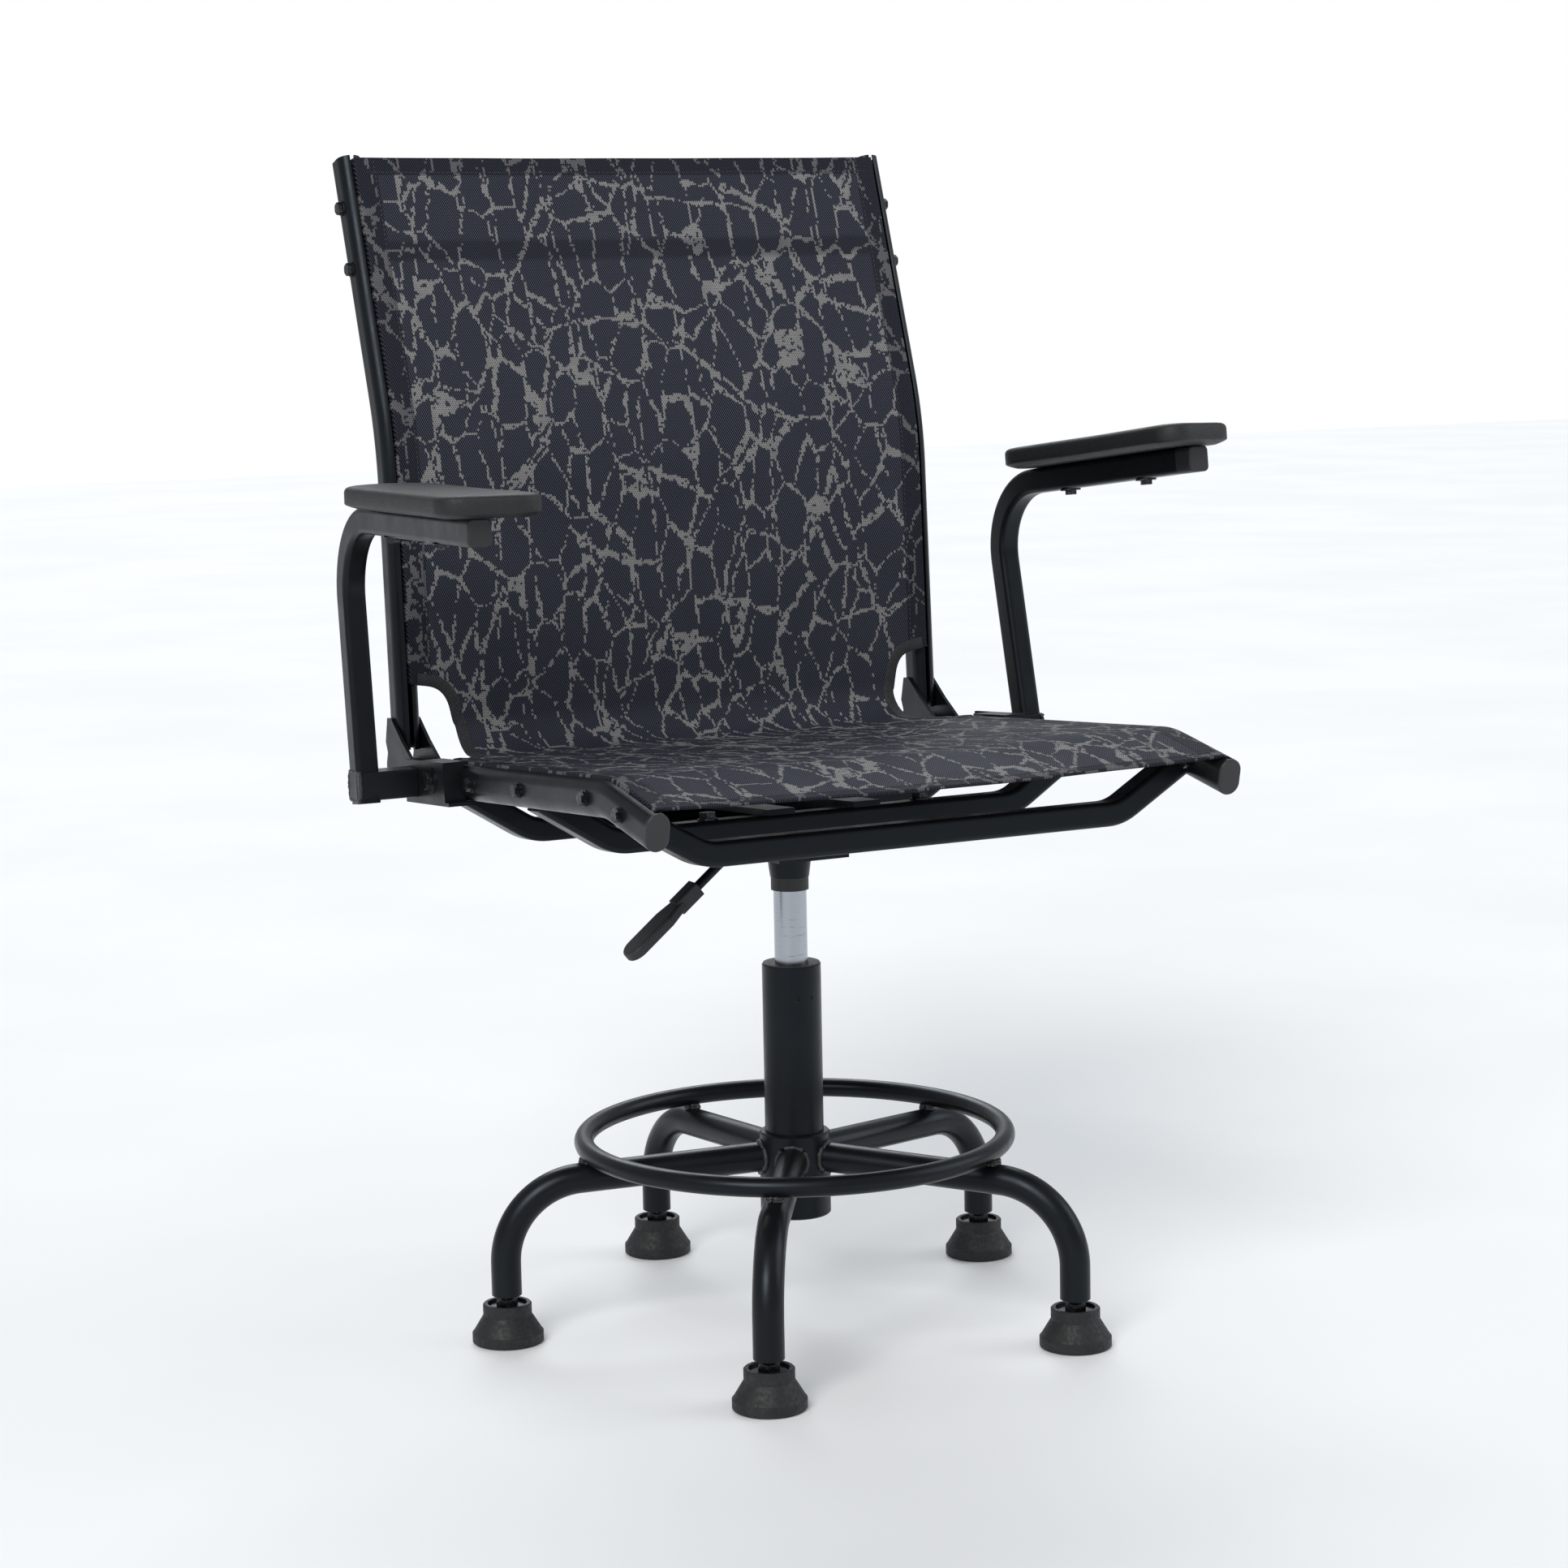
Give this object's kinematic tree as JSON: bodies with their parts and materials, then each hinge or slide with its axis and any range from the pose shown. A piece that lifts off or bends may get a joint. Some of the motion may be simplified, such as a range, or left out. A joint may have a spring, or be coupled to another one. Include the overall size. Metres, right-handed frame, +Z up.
{
  "type": "swivel blind chair",
  "caption": "Swivel blind chair with a mesh sling seat, fold-down back, flip-up arms, gas-lift column, foot ring and bent legs on levelling feet.",
  "frame": {"origin": "on the floor under the swivel axis of the column, at the centre of the circle of feet", "axes": "+Z up, the sitter faces -Y, +X is the sitter's left"},
  "size_m": [0.7338, 0.6067, 0.9947],
  "materials": {
    "black_frame": "satin",
    "bright_tube": "brushed",
    "inner_steel": "satin",
    "dark_fastener": "satin",
    "black_plastic": "matte",
    "pad_foam": "matte",
    "foot_rubber": "matte",
    "mesh_cloth": "matte"
  },
  "bodies": {
    "base": {"leg_1": "black_frame", "leg_2": "black_frame", "leg_3": "black_frame", "leg_4": "black_frame", "leg_5": "black_frame", "foot_ring": "black_frame", "ring_posts": "black_frame", "hub_collar": "black_frame", "column_tube": "black_frame", "guide_bush": "black_plastic", "column_floor": "black_frame"},
    "foot_1": {"foot_pad_1": "foot_rubber"},
    "stud_1": {"foot_stud_1": "dark_fastener"},
    "foot_2": {"foot_pad_2": "foot_rubber"},
    "stud_2": {"foot_stud_2": "dark_fastener"},
    "foot_3": {"foot_pad_3": "foot_rubber"},
    "stud_3": {"foot_stud_3": "dark_fastener"},
    "foot_4": {"foot_pad_4": "foot_rubber"},
    "stud_4": {"foot_stud_4": "dark_fastener"},
    "foot_5": {"foot_pad_5": "foot_rubber"},
    "stud_5": {"foot_stud_5": "dark_fastener"},
    "swivel": {"piston_rod": "inner_steel", "thrust_bearing": "inner_steel", "retaining_clip": "inner_steel"},
    "lift": {"pressure_tube": "bright_tube", "socket_ring": "black_plastic", "lift_housing": "black_frame", "lift_plate": "black_frame", "plate_bars": "black_frame", "plate_bolts": "dark_fastener", "rail_left": "black_frame", "rail_right": "black_frame", "rail_caps": "black_plastic", "rail_bolts": "dark_fastener", "cross_member_front": "black_frame", "cross_member_middle": "black_frame", "cross_member_rear": "black_frame", "arm_brackets": "black_frame", "bracket_bolts": "dark_fastener", "pivot_bolts": "dark_fastener", "seat_sling": "mesh_cloth"},
    "valve": {"valve_pin": "inner_steel"},
    "lever": {"release_lever": "black_frame", "lever_paddle": "black_plastic"},
    "back": {"upright_left": "black_frame", "upright_right": "black_frame", "hinge_plates": "black_frame", "upright_bolts": "dark_fastener", "spreader_bar": "black_frame", "back_sling": "mesh_cloth"},
    "arm_right": {"arm_tube_right": "black_frame", "arm_stub_right": "black_frame", "arm_cap_right": "black_plastic", "arm_pad_right": "pad_foam", "pad_bolts_right": "dark_fastener"},
    "arm_left": {"arm_tube_left": "black_frame", "arm_stub_left": "black_frame", "arm_cap_left": "black_plastic", "arm_pad_left": "pad_foam", "pad_bolts_left": "dark_fastener"}
  },
  "joints": [
    {"name": "foot_1_height", "type": "slide", "parent": "base", "child": "foot_1", "axis": [0, 0, -1], "range_m": [0, 0.015]},
    {"name": "stud_1_turn", "type": "hinge", "parent": "foot_1", "child": "stud_1", "pos_m": [-0.24198, 0.06556, 0.035], "axis": [0, 0, 1], "range_deg": [0, 3600]},
    {"name": "foot_2_height", "type": "slide", "parent": "base", "child": "foot_2", "axis": [0, 0, -1], "range_m": [0, 0.015]},
    {"name": "stud_2_turn", "type": "hinge", "parent": "foot_2", "child": "stud_2", "pos_m": [-0.13713, -0.20987, 0.035], "axis": [0, 0, 1], "range_deg": [0, 3600]},
    {"name": "foot_3_height", "type": "slide", "parent": "base", "child": "foot_3", "axis": [0, 0, -1], "range_m": [0, 0.015]},
    {"name": "stud_3_turn", "type": "hinge", "parent": "foot_3", "child": "stud_3", "pos_m": [0.15723, -0.19527, 0.035], "axis": [0, 0, 1], "range_deg": [0, 3600]},
    {"name": "foot_4_height", "type": "slide", "parent": "base", "child": "foot_4", "axis": [0, 0, -1], "range_m": [0, 0.015]},
    {"name": "stud_4_turn", "type": "hinge", "parent": "foot_4", "child": "stud_4", "pos_m": [0.2343, 0.08919, 0.035], "axis": [0, 0, 1], "range_deg": [0, 3600]},
    {"name": "foot_5_height", "type": "slide", "parent": "base", "child": "foot_5", "axis": [0, 0, -1], "range_m": [0, 0.015]},
    {"name": "stud_5_turn", "type": "hinge", "parent": "foot_5", "child": "stud_5", "pos_m": [-0.01242, 0.25039, 0.035], "axis": [0, 0, 1], "range_deg": [0, 3600]},
    {"name": "seat_swivel", "type": "hinge", "parent": "base", "child": "swivel", "pos_m": [0, 0, 0.1], "axis": [0, 0, 1], "continuous": true},
    {"name": "seat_height", "type": "slide", "parent": "swivel", "child": "lift", "axis": [0, 0, 1], "range_m": [-0.06, 0.05]},
    {"name": "lever_lift", "type": "hinge", "parent": "lift", "child": "lever", "pos_m": [-0.027, 0, 0.4105], "axis": [0, 1, 0], "range_deg": [0, 6], "stiffness_Nm_per_rad": 2, "springref_deg": -5.73},
    {"name": "valve_press", "type": "slide", "parent": "lift", "child": "valve", "axis": [0, 0, -1], "range_m": [0, 0.0034], "stiffness_N_per_m": 1000, "springref_m": -0.001},
    {"name": "back_fold", "type": "hinge", "parent": "lift", "child": "back", "pos_m": [0, 0.183, 0.4678], "axis": [1, 0, 0], "range_deg": [0, 80]},
    {"name": "arm_right_flip", "type": "hinge", "parent": "lift", "child": "arm_right", "pos_m": [-0.3237, 0.1404, 0.47073], "axis": [-1, 0, 0], "range_deg": [0, 90]},
    {"name": "arm_left_flip", "type": "hinge", "parent": "lift", "child": "arm_left", "pos_m": [0.3237, 0.1404, 0.47073], "axis": [-1, 0, 0], "range_deg": [0, 90]}
  ],
  "couplings": [
    {"joint": "stud_1_turn", "follows": "foot_1_height", "rad_per_m": 4188.8},
    {"joint": "stud_2_turn", "follows": "foot_2_height", "rad_per_m": 4188.8},
    {"joint": "stud_3_turn", "follows": "foot_3_height", "rad_per_m": 4188.8},
    {"joint": "stud_4_turn", "follows": "foot_4_height", "rad_per_m": 4188.8},
    {"joint": "stud_5_turn", "follows": "foot_5_height", "rad_per_m": 4188.8},
    {"joint": "valve_press", "follows": "lever_lift", "m_per_rad": 0.031}
  ]
}
